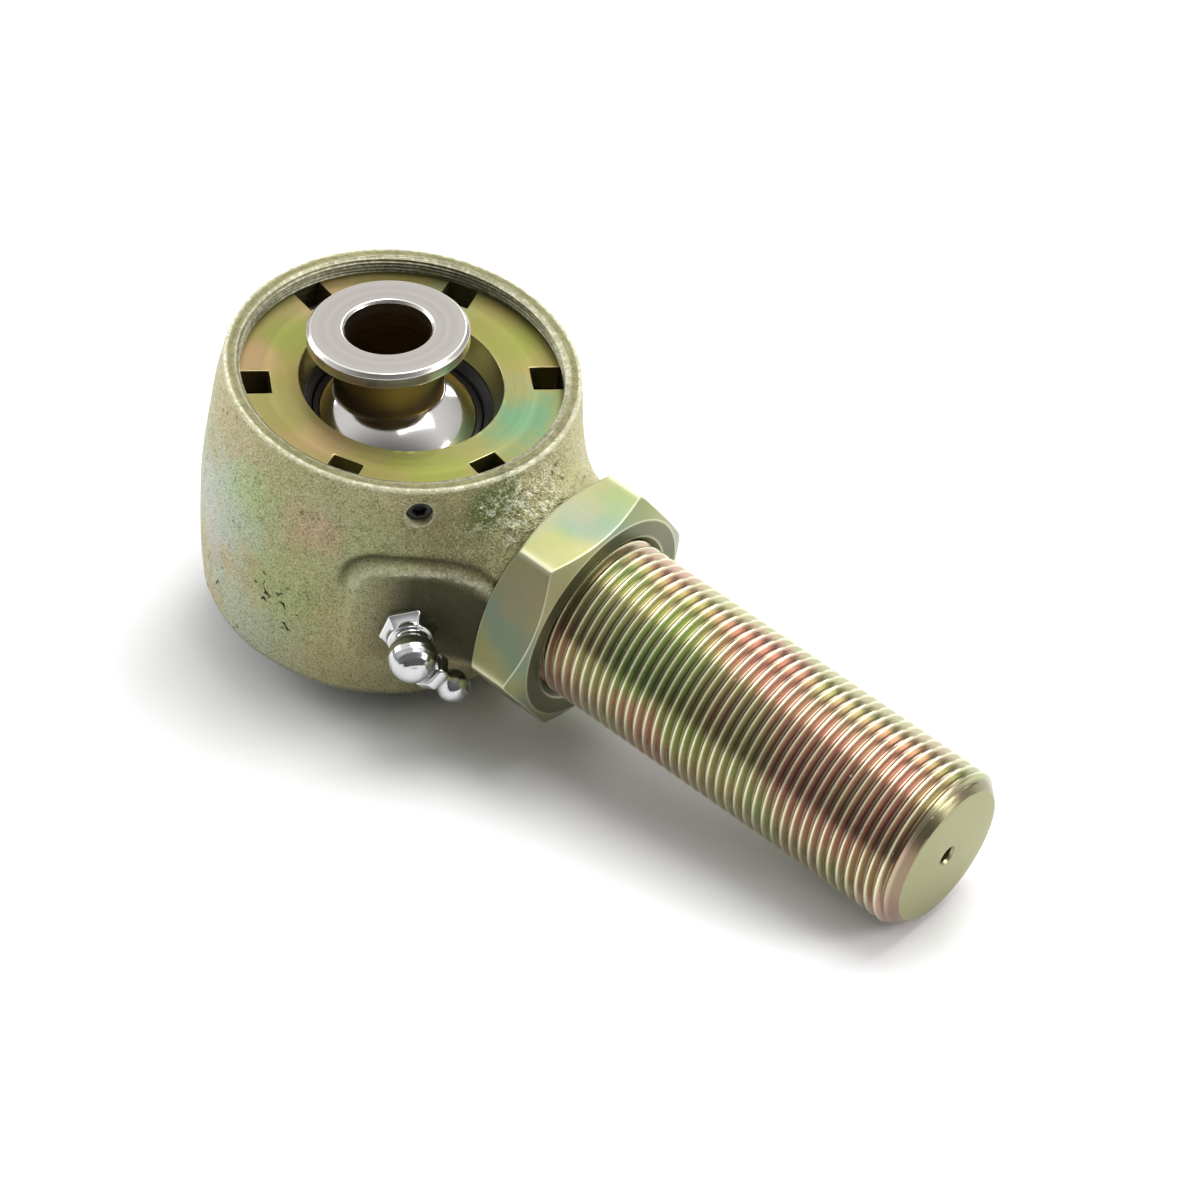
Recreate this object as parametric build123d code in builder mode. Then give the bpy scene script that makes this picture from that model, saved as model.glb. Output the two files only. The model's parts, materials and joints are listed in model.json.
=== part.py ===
from build123d import *
import os
from math import asin, atan2, cos, hypot, radians, sin, sqrt, tan

# Rebuildable rod end with an adjusting ring, two flanged spacers, a jam nut and a grease fitting.
# The bolt axis is +Z with the ball's centre at the origin. The part stands on its lower spacer, and
# the housing leans about Y until the end of its threaded shank rests on the same floor.

inch = 25.4

# bolt, ball and spacers
bolt_bore_d = 0.625 * inch
spool_length = 2.625 * inch
stem_d = 0.75 * inch
neck_d = 20.2
flange_d = 29.8
flange_thickness = 3.1
flange_bevel = 0.7
bore_chamfer = 0.5
ball_d = 1.75 * inch
ball_width = 39.2
stem_clearance = 0.06

# races
race_d = 54.8
race_height = 17.4
race_gap = 0.3
race_clearance = 0.08
race_bore_clearance = 0.08
race_mouth_r = 15.9

# barrel and its two mouths
barrel_mid_r = 34.9
rim_r = 32.7
rim_inner_r = 30.5
barrel_half_height = 26.3
lip_top = 17.5
lip_bottom = 23.0
mouth_small_r = 17.3
mouth_large_r = 18.8
foot_recess_r = 28.6
cavity_r = race_d / 2 + race_bore_clearance

# adjusting ring and its thread
ring_pitch = inch / 16
ring_thread_r = 30.0
ring_thread_depth = 0.85
ring_thread_clearance = 0.08
ring_seat_clearance = 0.1
notch_count = 6
notch_width = 5.9
notch_inner_r = 24.0
notch_azimuth = 49.0

# shank, thread and jam nut
shank_d = 1.25 * inch
shank_pitch = inch / 12
shank_depth = 0.6134 * shank_pitch
shank_end = 131.8
shank_chamfer = 2.45
shoulder = 39.7
neck_root_r = 20.0
neck_blend_r = 10.0
nut_across_flats = 42.8
nut_thickness = 12.0
nut_gap = 0.1
nut_corner_angle = 7.0
nut_face_r = 20.6
nut_clearance = 0.08
thread_clear_of_nut = 0.6
centre_drill_r = 1.6

# grease fitting, its boss and the set screw, all on one upright plane
fitting_azimuth = -42.0
fitting_height = -4.7
boss_face = 35.5
boss_left = 11.4
boss_right = 16.0
boss_top = 14.6
boss_bottom = 9.4
boss_corner_r = 5.0
boss_depth = 9.0
spot_face_r = 6.4
elbow_stem_r = 3.1
elbow_stem_length = 5.0
spot_face_clearance = 4.0
elbow_hex = 9.7
elbow_hex_length = 1.5
elbow_hex_turn = 15.0
elbow_taper_length = 2.35
elbow_collar_r = 4.1
elbow_neck_r = 3.2
elbow_ball_r = 4.55
elbow_reach = 8.2
passage_r = 1.2
nipple_angle = -42.0
nipple_hex = 6.35
nipple_start = 4.3
nipple_head_r = 3.08
nipple_head_at = 10.9
nipple_stem_r = 2.2
nipple_neck_r = 2.05
check_ball_r = 1.1
spring_wire_r = 0.16
set_screw_r = 2.41
set_screw_height = 21.2
set_screw_length = 2.3
set_screw_socket = 2.38

# lean of the housing: the last full crest of the shank touches the floor
crest_reach = shank_end - shank_chamfer
lean = asin(spool_length / 2 / hypot(crest_reach, shank_d / 2)) - atan2(shank_d / 2, crest_reach)
shank_dir = Vector(cos(lean), 0, -sin(lean))
barrel_dir = Vector(sin(lean), 0, cos(lean))
across = Vector(0, 1, 0)

# planes and axes of the leaning housing
section = Plane(origin=(0, 0, 0), x_dir=shank_dir, z_dir=(0, -1, 0))
barrel_plane = Plane(origin=(0, 0, 0), x_dir=shank_dir, z_dir=barrel_dir)
shank_plane = Plane(origin=(0, 0, 0), x_dir=across, z_dir=shank_dir)
barrel_axis = Axis((0, 0, 0), barrel_dir)
shank_axis = Axis((0, 0, 0), shank_dir)

# planes of the grease fitting and the set screw
azimuth = radians(fitting_azimuth)
outward = shank_dir * cos(azimuth) + across * sin(azimuth)
sideways = across * cos(azimuth) - shank_dir * sin(azimuth)
fitting_origin = outward * boss_face + barrel_dir * fitting_height
fitting_plane = Plane(origin=fitting_origin, x_dir=sideways, z_dir=outward)
screw_origin = barrel_dir * set_screw_height
screw_plane = Plane(origin=screw_origin, x_dir=sideways, z_dir=outward)
elbow_centre = fitting_origin + outward * elbow_reach
nipple_dir = sideways * cos(radians(nipple_angle)) + barrel_dir * sin(radians(nipple_angle))
nipple_plane = Plane(origin=elbow_centre, x_dir=outward, z_dir=nipple_dir)
nipple_section = Plane(origin=elbow_centre, x_dir=outward, z_dir=outward.cross(nipple_dir))
nipple_axis = Axis(elbow_centre, nipple_dir)
ring_section = Plane(origin=(0, 0, 0), x_dir=outward, z_dir=outward.cross(barrel_dir))


def ridge_points(start, end, pitch, crest_r, root_r, phase=0.0):
    """Outline of ridges along an axis: crest flats of an eighth pitch, root flats of a quarter."""
    points = []
    first = int((start - phase) / pitch) - 1
    last = int((end - phase) / pitch) + 1
    for turn in range(first, last + 1):
        middle = phase + turn * pitch
        points.append((middle - pitch * 3 / 8, root_r))
        points.append((middle - pitch / 16, crest_r))
        points.append((middle + pitch / 16, crest_r))
        points.append((middle + pitch * 3 / 8, root_r))
    inside = [p for p in points if start < p[0] < end]
    return [(start, root_r)] + inside + [(end, root_r)]


# housing: barrel, neck, boss and shank are one forging
# the shank is plain under the nut, so the ridges mark only the length open to a mating part
shank_r = shank_d / 2
root_r = shank_r - shank_depth
thread_start = shoulder + nut_gap + nut_thickness + thread_clear_of_nut
blend_x = sqrt((barrel_mid_r + neck_blend_r) ** 2 - (neck_root_r + neck_blend_r) ** 2)
blend_share = barrel_mid_r / (barrel_mid_r + neck_blend_r)
blend_start = (blend_x * blend_share, (neck_root_r + neck_blend_r) * blend_share)
blend_mid_dir = Vector(-blend_start[0], -blend_start[1]) + Vector(0, -1) * hypot(*blend_start)
blend_mid_dir = blend_mid_dir / blend_mid_dir.length
blend_mid = (
    blend_x + blend_mid_dir.X * neck_blend_r,
    neck_root_r + neck_blend_r + blend_mid_dir.Y * neck_blend_r,
)
thread_relief_top = lip_top - 1.0

with BuildPart() as housing:
    with BuildSketch(section):
        with BuildLine():
            Line((0, -barrel_half_height), (rim_r, -barrel_half_height))
            ThreePointArc((rim_r, -barrel_half_height), (barrel_mid_r, 0), (rim_r, barrel_half_height))
            Line((rim_r, barrel_half_height), (0, barrel_half_height))
            Line((0, barrel_half_height), (0, -barrel_half_height))
        make_face()
    revolve(axis=barrel_axis)
    rims = housing.edges().filter_by(GeomType.CIRCLE).sort_by(barrel_axis)
    fillet(rims[-1], 0.6)
    fillet(rims[0], 2.2)
    with BuildSketch(section):
        with BuildLine():
            Line((0, 0), (0, 14))
            Line((0, 14), blend_start)
            ThreePointArc(blend_start, blend_mid, (blend_x, neck_root_r))
            Line((blend_x, neck_root_r), (shoulder - 1.2, neck_root_r))
            Line((shoulder - 1.2, neck_root_r), (shoulder, neck_root_r - 1.2))
            Line((shoulder, neck_root_r - 1.2), (shoulder, 0))
            Line((shoulder, 0), (0, 0))
        make_face()
    revolve(axis=shank_axis)
    with BuildSketch(fitting_plane):
        boss_middle = ((boss_right - boss_left) / 2, (boss_top - boss_bottom) / 2)
        with Locations(boss_middle):
            RectangleRounded(boss_left + boss_right, boss_top + boss_bottom, boss_corner_r)
    extrude(amount=-boss_depth)
    with BuildSketch(section):
        with BuildLine():
            outline = [(shoulder - 2, 0)]
            outline += [(shoulder - 2, root_r)]
            outline += ridge_points(thread_start, shank_end, shank_pitch, shank_r, root_r)
            outline += [(shank_end, 0)]
            Polyline(*outline, close=True)
        make_face()
    revolve(axis=shank_axis)
    with BuildSketch(section):
        with BuildLine():
            inner_r = shank_r - shank_chamfer
            Polyline(
                (shank_end, inner_r),
                (shank_end + 1, inner_r - 1),
                (shank_end + 1, shank_r + 1),
                (shank_end - shank_chamfer - 1, shank_r + 1),
                close=True,
            )
        make_face()
    revolve(axis=shank_axis, mode=Mode.SUBTRACT)
    with BuildSketch(section):
        with BuildLine():
            Polyline(
                (shank_end - 3.5, 0),
                (shank_end - 2.2, centre_drill_r / 2),
                (shank_end - 1.6, centre_drill_r / 2),
                (shank_end, centre_drill_r),
                (shank_end + 1, centre_drill_r),
                (shank_end + 1, 0),
                close=True,
            )
        make_face()
    revolve(axis=shank_axis, mode=Mode.SUBTRACT)
    # inside: threaded top mouth, race bore, bottom lip and foot recess
    with BuildSketch(section):
        with BuildLine():
            crest_in = ring_thread_r - ring_thread_depth + ring_thread_clearance
            root_in = ring_thread_r + ring_thread_clearance
            ridges_start = lip_bottom + 0.2
            ridges_end = barrel_half_height - 0.6
            ridges = ridge_points(ridges_start, ridges_end, ring_pitch / 2, root_in, crest_in)
            outline = [(0, -lip_top), (cavity_r, -lip_top), (cavity_r, thread_relief_top)]
            outline += [(root_in, thread_relief_top), (root_in, ridges_start)]
            outline += [(r, z) for z, r in ridges]
            outline += [(rim_inner_r, barrel_half_height), (rim_inner_r, barrel_half_height + 1)]
            outline += [(0, barrel_half_height + 1)]
            Polyline(*outline, close=True)
        make_face()
    revolve(axis=barrel_axis, mode=Mode.SUBTRACT)
    with BuildSketch(section):
        with BuildLine():
            Polyline(
                (0, -lip_top + 1),
                (mouth_small_r, -lip_top + 1),
                (mouth_small_r, -lip_top),
                (mouth_large_r, -lip_bottom),
                (foot_recess_r, -lip_bottom),
                (foot_recess_r + 0.6, -barrel_half_height),
                (foot_recess_r + 0.6, -barrel_half_height - 1),
                (0, -barrel_half_height - 1),
                close=True,
            )
        make_face()
    revolve(axis=barrel_axis, mode=Mode.SUBTRACT)
    # spot face for the fitting, then the radial holes: set screw, fitting thread, grease passage
    with BuildSketch(fitting_plane):
        Circle(spot_face_r)
    extrude(amount=spot_face_clearance, mode=Mode.SUBTRACT)
    with Locations(screw_plane.offset(barrel_mid_r)):
        Hole(set_screw_r + 0.05, depth=barrel_mid_r - ring_thread_r + 1.2)
    with Locations(fitting_plane):
        Hole(elbow_stem_r + 0.05, depth=elbow_stem_length + 0.4)
        Hole(passage_r, depth=boss_face - cavity_r + 2)
housing.part.label = "housing"

# adjusting ring: six spanner notches, a tapered mouth and an outer thread
ring_bottom = lip_top + ring_seat_clearance
with BuildPart() as adjuster_ring:
    with BuildSketch(ring_section):
        with BuildLine():
            crest = ring_thread_r
            root = ring_thread_r - ring_thread_depth
            outline = [(mouth_small_r, ring_bottom)]
            outline += [(r, z) for z, r in ridge_points(ring_bottom, lip_bottom, ring_pitch, crest, root)]
            outline += [(mouth_large_r + 0.4, lip_bottom), (mouth_large_r, lip_bottom - 0.4)]
            Polyline(*outline, close=True)
        make_face()
    revolve(axis=barrel_axis)
    with BuildSketch(barrel_plane.offset(lip_bottom)):
        with PolarLocations(0, notch_count, start_angle=notch_azimuth):
            with Locations((notch_inner_r + 5, 0)):
                Rectangle(10, notch_width)
    extrude(amount=-(lip_bottom - ring_bottom), mode=Mode.SUBTRACT)
adjuster_ring.part.label = "adjuster_ring"

# race halves: a cylinder split at the ball's equator, with a spherical seat
race_sides = {"upper_race": 1, "lower_race": -1}
race_seat_r = ball_d / 2 + race_clearance
race_parts = {}
for name, side in race_sides.items():
    with BuildPart() as race:
        with BuildSketch(section):
            seat_gap_r = sqrt(race_seat_r**2 - race_gap**2)
            seat_top = sqrt(race_seat_r**2 - race_mouth_r**2)
            seat_middle = (race_seat_r * cos(radians(24)), race_seat_r * sin(radians(24)) * side)
            with BuildLine():
                Line((seat_gap_r, race_gap * side), (race_d / 2, race_gap * side))
                Line((race_d / 2, race_gap * side), (race_d / 2, race_height * side))
                Line((race_d / 2, race_height * side), (mouth_small_r, race_height * side))
                Line((mouth_small_r, race_height * side), (race_mouth_r, seat_top * side))
                ThreePointArc((race_mouth_r, seat_top * side), seat_middle, (seat_gap_r, race_gap * side))
            make_face()
        revolve(axis=barrel_axis)
    race.part.label = name
    race_parts[name] = race

# ball: a sphere cut flat on both sides and bored for the spacer stems
with BuildPart() as ball:
    Sphere(ball_d / 2)
    half = ball_width / 2
    split(bisect_by=Plane.XY.offset(half), keep=Keep.BOTTOM)
    split(bisect_by=Plane.XY.offset(-half), keep=Keep.TOP)
    Hole(stem_d / 2 + stem_clearance)
    chamfer(ball.edges().filter_by(GeomType.CIRCLE).filter_by(lambda e: e.radius < stem_d / 2 + 0.2), 0.3)
ball.part.label = "ball"

# flanged spacers: the stems meet at the middle of the ball
spacer_sides = {"upper_spacer": 1, "lower_spacer": -1}
spacer_parts = {}
for name, side in spacer_sides.items():
    top = spool_length / 2
    shoulder_z = ball_width / 2 + 0.05
    with BuildPart() as spacer:
        with BuildSketch(Plane.XZ):
            bore_r = bolt_bore_d / 2
            outline = [
                (bore_r, 0.05),
                (stem_d / 2 - 0.4, 0.05),
                (stem_d / 2, 0.45),
                (stem_d / 2, shoulder_z),
                (neck_d / 2, shoulder_z),
                (neck_d / 2, top - flange_thickness - 0.8),
                (neck_d / 2 + 0.8, top - flange_thickness),
                (flange_d / 2 - 0.3, top - flange_thickness),
                (flange_d / 2, top - flange_thickness + 0.3),
                (flange_d / 2, top - flange_bevel),
                (flange_d / 2 - flange_bevel, top),
                (bore_r + bore_chamfer, top),
                (bore_r, top - bore_chamfer),
            ]
            with BuildLine():
                Polyline(*[(x, z * side) for x, z in outline], close=True)
            make_face()
        revolve(axis=Axis.Z)
    spacer.part.label = name
    spacer_parts[name] = spacer

# jam nut: hexagon prism cut by a chamfer cone on both faces. Its bore is plain, at the crest of the
# shank's thread, because the nut travels along the shank without its turn
nut_start = shoulder + nut_gap
nut_end = nut_start + nut_thickness
nut_corner_r = nut_across_flats / sqrt(3)
chamfer_rise = (nut_corner_r + 1 - nut_face_r) * tan(radians(30))
with BuildPart() as jam_nut:
    with BuildSketch(shank_plane.offset(nut_start)):
        RegularPolygon(nut_corner_r, 6, rotation=nut_corner_angle)
    extrude(amount=nut_thickness)
    with BuildSketch(section):
        with BuildLine():
            Polyline(
                (nut_start, 0),
                (nut_start, nut_face_r),
                (nut_start + chamfer_rise, nut_corner_r + 1),
                (nut_end - chamfer_rise, nut_corner_r + 1),
                (nut_end, nut_face_r),
                (nut_end, 0),
                close=True,
            )
        make_face()
    revolve(axis=shank_axis, mode=Mode.INTERSECT)
    with BuildSketch(section):
        with BuildLine():
            nut_bore_r = shank_r + nut_clearance
            Polyline(
                (nut_start - 1, 0),
                (nut_start - 1, nut_bore_r + 1.5),
                (nut_start + 0.5, nut_bore_r),
                (nut_end - 0.5, nut_bore_r),
                (nut_end + 1, nut_bore_r + 1.5),
                (nut_end + 1, 0),
                close=True,
            )
        make_face()
    revolve(axis=shank_axis, mode=Mode.SUBTRACT)
jam_nut.part.label = "jam_nut"

# grease elbow: threaded stem, tapered hexagon, collar and turned ball
with BuildPart() as grease_elbow:
    with BuildSketch(fitting_plane.offset(-elbow_stem_length)):
        Circle(elbow_stem_r)
    extrude(amount=elbow_stem_length)
    with BuildSketch(fitting_plane):
        RegularPolygon(elbow_hex / sqrt(3), 6, rotation=elbow_hex_turn)
    extrude(amount=elbow_hex_length)
    with BuildSketch(fitting_plane.offset(elbow_hex_length)):
        RegularPolygon(elbow_hex / sqrt(3), 6, rotation=elbow_hex_turn)
    with BuildSketch(fitting_plane.offset(elbow_hex_length + elbow_taper_length)):
        RegularPolygon(elbow_collar_r + 0.1, 6, rotation=elbow_hex_turn)
    loft()
    with BuildSketch(fitting_plane.offset(elbow_hex_length + elbow_taper_length - 0.35)):
        Circle(elbow_collar_r)
    extrude(amount=0.35)
    with BuildSketch(fitting_plane.offset(elbow_hex_length)):
        Circle(elbow_neck_r)
    extrude(amount=elbow_reach - elbow_hex_length)
    with Locations(Plane(elbow_centre)):
        Sphere(elbow_ball_r)
    with BuildSketch(fitting_plane.offset(-elbow_stem_length)):
        Circle(passage_r)
    extrude(amount=elbow_stem_length + elbow_reach, mode=Mode.SUBTRACT)
    with BuildSketch(nipple_plane):
        Circle(passage_r)
    extrude(amount=elbow_ball_r + 1, mode=Mode.SUBTRACT)
    with BuildSketch(nipple_plane.offset(elbow_ball_r - 2.4)):
        Circle(nipple_stem_r + 0.05)
    extrude(amount=5, mode=Mode.SUBTRACT)
grease_elbow.part.label = "grease_elbow"

# grease nipple: stem, hexagon collar, neck and bulb head with a seat for the check ball
nipple_back = elbow_ball_r - 2.3
nipple_tip = nipple_head_at + 2.5
with BuildPart() as grease_nipple:
    with BuildSketch(nipple_plane.offset(nipple_back)):
        Circle(nipple_stem_r)
    extrude(amount=nipple_start - nipple_back + 0.1)
    with BuildSketch(nipple_plane.offset(nipple_start)):
        RegularPolygon(nipple_hex / sqrt(3), 6, rotation=10)
    extrude(amount=1.9)
    with BuildSketch(nipple_section):
        with BuildLine():
            neck_end = nipple_start + 1.9
            Polyline(
                (0, neck_end),
                (2.9, neck_end),
                (nipple_neck_r, neck_end + 0.9),
                (nipple_neck_r, nipple_head_at - 2.0),
                (nipple_head_r, nipple_head_at - 0.7),
                (nipple_head_r, nipple_head_at + 0.3),
                (1.9, nipple_tip),
                (0, nipple_tip),
                close=True,
            )
        make_face()
    revolve(axis=nipple_axis)
    with BuildSketch(nipple_section):
        with BuildLine():
            Polyline(
                (0, nipple_back - 1),
                (passage_r - 0.3, nipple_back - 1),
                (passage_r - 0.3, nipple_start + 1.6),
                (1.25, nipple_start + 1.6),
                (1.25, nipple_tip - 1.1),
                (0.75, nipple_tip - 0.5),
                (0.75, nipple_tip + 1),
                (0, nipple_tip + 1),
                close=True,
            )
        make_face()
    revolve(axis=nipple_axis, mode=Mode.SUBTRACT)
grease_nipple.part.label = "grease_nipple"

# check ball under the nipple's mouth and the spring that holds it there
check_ball_at = nipple_tip - 1.72
with BuildPart() as nipple_ball:
    with Locations(Plane(elbow_centre + nipple_dir * check_ball_at)):
        Sphere(check_ball_r)
nipple_ball.part.label = "nipple_ball"

spring_start = nipple_start + 1.6 + spring_wire_r + 0.03
spring_length = check_ball_at - 0.95 - spring_start
spring_base = elbow_centre + nipple_dir * spring_start
with BuildPart() as nipple_spring:
    with BuildLine() as spring_path:
        Helix(spring_length / 4.5, spring_length, 0.8, center=spring_base, direction=nipple_dir)
    with BuildSketch(Plane(origin=spring_path.line @ 0, z_dir=spring_path.line % 0)):
        Circle(spring_wire_r)
    sweep(path=spring_path.line, is_frenet=True)
nipple_spring.part.label = "nipple_spring"

# set screw: a short headless screw with a hexagon socket, its tip just off the ring's thread
screw_tip = ring_thread_r + 0.12
with BuildPart() as set_screw:
    with BuildSketch(screw_plane.offset(screw_tip)):
        Circle(set_screw_r - 0.5)
    extrude(amount=0.5)
    with BuildSketch(screw_plane.offset(screw_tip + 0.5)):
        Circle(set_screw_r)
    extrude(amount=set_screw_length - 0.5)
    with BuildSketch(screw_plane.offset(screw_tip + set_screw_length)):
        RegularPolygon(set_screw_socket / sqrt(3), 6)
    extrude(amount=-1.3, mode=Mode.SUBTRACT)
set_screw.part.label = "set_screw"

os.makedirs("parts", exist_ok=True)
pieces = [housing, adjuster_ring, ball, jam_nut, grease_elbow, grease_nipple, nipple_ball, nipple_spring, set_screw]
pieces += list(race_parts.values()) + list(spacer_parts.values())
for piece in pieces:
    export_step(piece.part, f"parts/{piece.part.label}.step")
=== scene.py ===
"""Rebuildable rod end: forged housing with its threaded shank, jam nut, adjusting ring, races, ball,
two flanged spacers, grease fitting and set screw, on a pale floor. Lengths are millimetres until a
mesh is made, and metres from there on."""

import json

import bmesh
import bpy
import numpy as np
from math import cos, pi, radians, sin, tan
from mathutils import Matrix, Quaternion, Vector


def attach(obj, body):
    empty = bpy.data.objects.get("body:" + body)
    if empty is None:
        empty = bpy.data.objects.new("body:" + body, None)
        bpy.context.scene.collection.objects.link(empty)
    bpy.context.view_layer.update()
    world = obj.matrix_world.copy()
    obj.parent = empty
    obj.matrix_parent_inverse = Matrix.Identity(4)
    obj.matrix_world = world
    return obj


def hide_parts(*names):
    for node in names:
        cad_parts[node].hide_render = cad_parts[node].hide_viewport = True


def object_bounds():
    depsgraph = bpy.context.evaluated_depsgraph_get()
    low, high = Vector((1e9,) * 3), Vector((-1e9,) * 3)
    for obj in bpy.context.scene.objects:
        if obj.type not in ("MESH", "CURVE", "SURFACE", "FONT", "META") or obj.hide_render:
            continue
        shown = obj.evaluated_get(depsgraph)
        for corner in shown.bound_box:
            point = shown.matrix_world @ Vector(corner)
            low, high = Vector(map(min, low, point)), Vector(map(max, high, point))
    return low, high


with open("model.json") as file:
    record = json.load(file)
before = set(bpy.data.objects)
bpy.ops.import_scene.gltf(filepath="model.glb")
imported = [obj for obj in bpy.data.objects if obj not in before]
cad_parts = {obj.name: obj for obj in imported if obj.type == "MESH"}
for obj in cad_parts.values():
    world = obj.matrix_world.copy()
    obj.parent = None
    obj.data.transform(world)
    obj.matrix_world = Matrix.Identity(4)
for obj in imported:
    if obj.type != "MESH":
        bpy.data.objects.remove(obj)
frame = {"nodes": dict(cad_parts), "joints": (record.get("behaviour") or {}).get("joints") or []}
cad_low, cad_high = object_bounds()

# ---------------------------------------------------------------- places of the parts

race_turn = next(joint for joint in frame["joints"] if joint["name"] == "race_turn")
barrel_dir = np.array(race_turn["axis"], float)
barrel_dir /= np.linalg.norm(barrel_dir)
across = np.array([0.0, 1.0, 0.0])
shank_dir = np.cross(across, barrel_dir)

fitting_azimuth = radians(-42.0)
fitting_height = -4.7
boss_face = 35.5
screw_height = 21.2
elbow_reach = 8.2
nipple_angle = radians(-42.0)

outward = shank_dir * cos(fitting_azimuth) + across * sin(fitting_azimuth)
sideways = across * cos(fitting_azimuth) - shank_dir * sin(fitting_azimuth)
fitting_origin = outward * boss_face + barrel_dir * fitting_height
elbow_centre = fitting_origin + outward * elbow_reach
nipple_dir = sideways * cos(nipple_angle) + barrel_dir * sin(nipple_angle)

# a place is an origin and the directions of a part's own x, y and z
barrel_place = (np.zeros(3), np.array([shank_dir, across, barrel_dir]))
shank_place = (np.zeros(3), np.array([across, barrel_dir, shank_dir]))
spool_place = (np.zeros(3), np.eye(3))
fitting_place = (fitting_origin, np.array([sideways, barrel_dir, outward]))
screw_place = (barrel_dir * screw_height, np.array([sideways, barrel_dir, outward]))
nipple_place = (elbow_centre, np.array([outward, np.cross(nipple_dir, outward), nipple_dir]))

# ---------------------------------------------------------------- making surfaces


def placed(points, place):
    """Points in a part's own axes carried to the shared frame: origin + x X + y Y + z Z."""
    origin, axes = place
    return origin + points @ axes


def about_z(radius, angle, height):
    """Points at a radius and an angle about z, at a height: x = r cos a, y = r sin a."""
    return np.stack([radius * np.cos(angle), radius * np.sin(angle), height], axis=-1)


def make_piece(name, points, faces, marks, sharp_angle):
    """Mesh and object from points in millimetres and four-sided faces. Faces are turned outwards by the
    sign of the volume they enclose, points that meet at poles and seams are merged, and each entry of
    marks becomes a number kept on the points."""
    corner = points[faces]
    first = np.einsum("ij,ij->i", corner[:, 0], np.cross(corner[:, 1], corner[:, 2]))
    second = np.einsum("ij,ij->i", corner[:, 0], np.cross(corner[:, 2], corner[:, 3]))
    if first.sum() + second.sum() < 0:
        faces = faces[:, ::-1]
    mesh = bpy.data.meshes.new(name)
    mesh.vertices.add(len(points))
    mesh.vertices.foreach_set("co", (points * 0.001).astype(np.float32).ravel())
    mesh.loops.add(faces.size)
    mesh.loops.foreach_set("vertex_index", faces.astype(np.int32).ravel())
    mesh.polygons.add(len(faces))
    mesh.polygons.foreach_set("loop_start", np.arange(0, faces.size, 4, dtype=np.int32))
    mesh.update(calc_edges=True)
    for mark, values in marks.items():
        attribute = mesh.attributes.new(mark, "FLOAT", "POINT")
        attribute.data.foreach_set("value", values.astype(np.float32).ravel())
    merged = bmesh.new()
    merged.from_mesh(mesh)
    bmesh.ops.remove_doubles(merged, verts=merged.verts, dist=2e-6)
    merged.to_mesh(mesh)
    merged.free()
    mesh.validate()
    mesh.shade_smooth()
    mesh.set_sharp_from_angle(angle=radians(sharp_angle))
    piece = bpy.data.objects.new(name, mesh)
    bpy.context.scene.collection.objects.link(piece)
    return piece


def grid_faces(lines, rows, close_lines, close_rows):
    """Four-sided faces between neighbours on a grid, the last line or row joined to the first on request."""
    index = np.arange(lines * rows).reshape(lines, rows)
    if close_lines:
        index = np.concatenate([index, index[:1]], axis=0)
    if close_rows:
        index = np.concatenate([index, index[:, :1]], axis=1)
    quads = [index[:-1, :-1], index[1:, :-1], index[1:, 1:], index[:-1, 1:]]
    return np.stack(quads, axis=-1).reshape(-1, 4)


def eased(outline, ease, steps=4):
    """Closed outline with short curves for corners. Each corner becomes a quadratic curve from a point
    `ease` before it to a point `ease` after it, never more than a third of the way along either side,
    with one more point beyond each end that keeps the flats flat. Returns rows of r, z and edge mark."""
    outline = np.array(outline, float)
    ease = np.broadcast_to(np.array(ease, float), len(outline))[:, None]
    back = np.roll(outline, 1, axis=0) - outline
    ahead = np.roll(outline, -1, axis=0) - outline
    back_length = np.linalg.norm(back, axis=1, keepdims=True)
    ahead_length = np.linalg.norm(ahead, axis=1, keepdims=True)
    reach = np.minimum(ease, 0.3 * np.minimum(back_length, ahead_length))
    back, ahead = back / back_length * reach, ahead / ahead_length * reach
    share = np.linspace(0, 1, steps)[:, None, None]
    curve = outline + (1 - share) ** 2 * back + share**2 * ahead
    points = np.concatenate([[outline + back * 1.5], curve, [outline + ahead * 1.5]])
    mark = np.ones(points.shape[:2] + (1,))
    mark[[0, -1]] = 0
    rows = np.concatenate([points, mark], axis=2)
    return rows.transpose(1, 0, 2).reshape(-1, 3)


def hex_share(angle):
    """Radius of a hexagon over its corner radius, at an angle from one of its corners, corners rounded."""
    from_flat = (angle + pi / 6) % (pi / 3) - pi / 6
    from_flat = pi / 6 - np.abs(from_flat)
    flat = cos(pi / 6) / np.cos(from_flat)
    return np.minimum(flat, 0.985)


def turned(name, rows, place, count=144, facets=None, corner=0.0, sharp_angle=50):
    """Piece turned about its own z: each row of the closed outline is a ring of radius r at height z, and
    a row's facets share draws its ring towards a hexagon of corner radius r."""
    angle = np.linspace(0, 2 * pi, count, endpoint=False)[:, None]
    radius = rows[None, :, 0] * np.ones_like(angle)
    if facets is not None:
        radius = radius * (1 + facets[None, :] * (hex_share(angle - corner) - 1))
    height = rows[None, :, 1] * np.ones_like(angle)
    points = about_z(radius, angle, height)
    marks = {"edge": np.broadcast_to(rows[None, :, 2], radius.shape)}
    faces = grid_faces(count, len(rows), True, True)
    return make_piece(name, placed(points.reshape(-1, 3), place), faces, marks, sharp_angle)


def soft_min(a, b, reach):
    """Lesser of two values, rounded where they are within `reach` of each other."""
    near = np.clip(reach - np.abs(a - b), 0, None) / reach
    return np.minimum(a, b) - near * near * reach / 4


def soft_max(a, b, reach):
    """Greater of two values, rounded where they are within `reach` of each other."""
    return -soft_min(-a, -b, reach)


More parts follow.
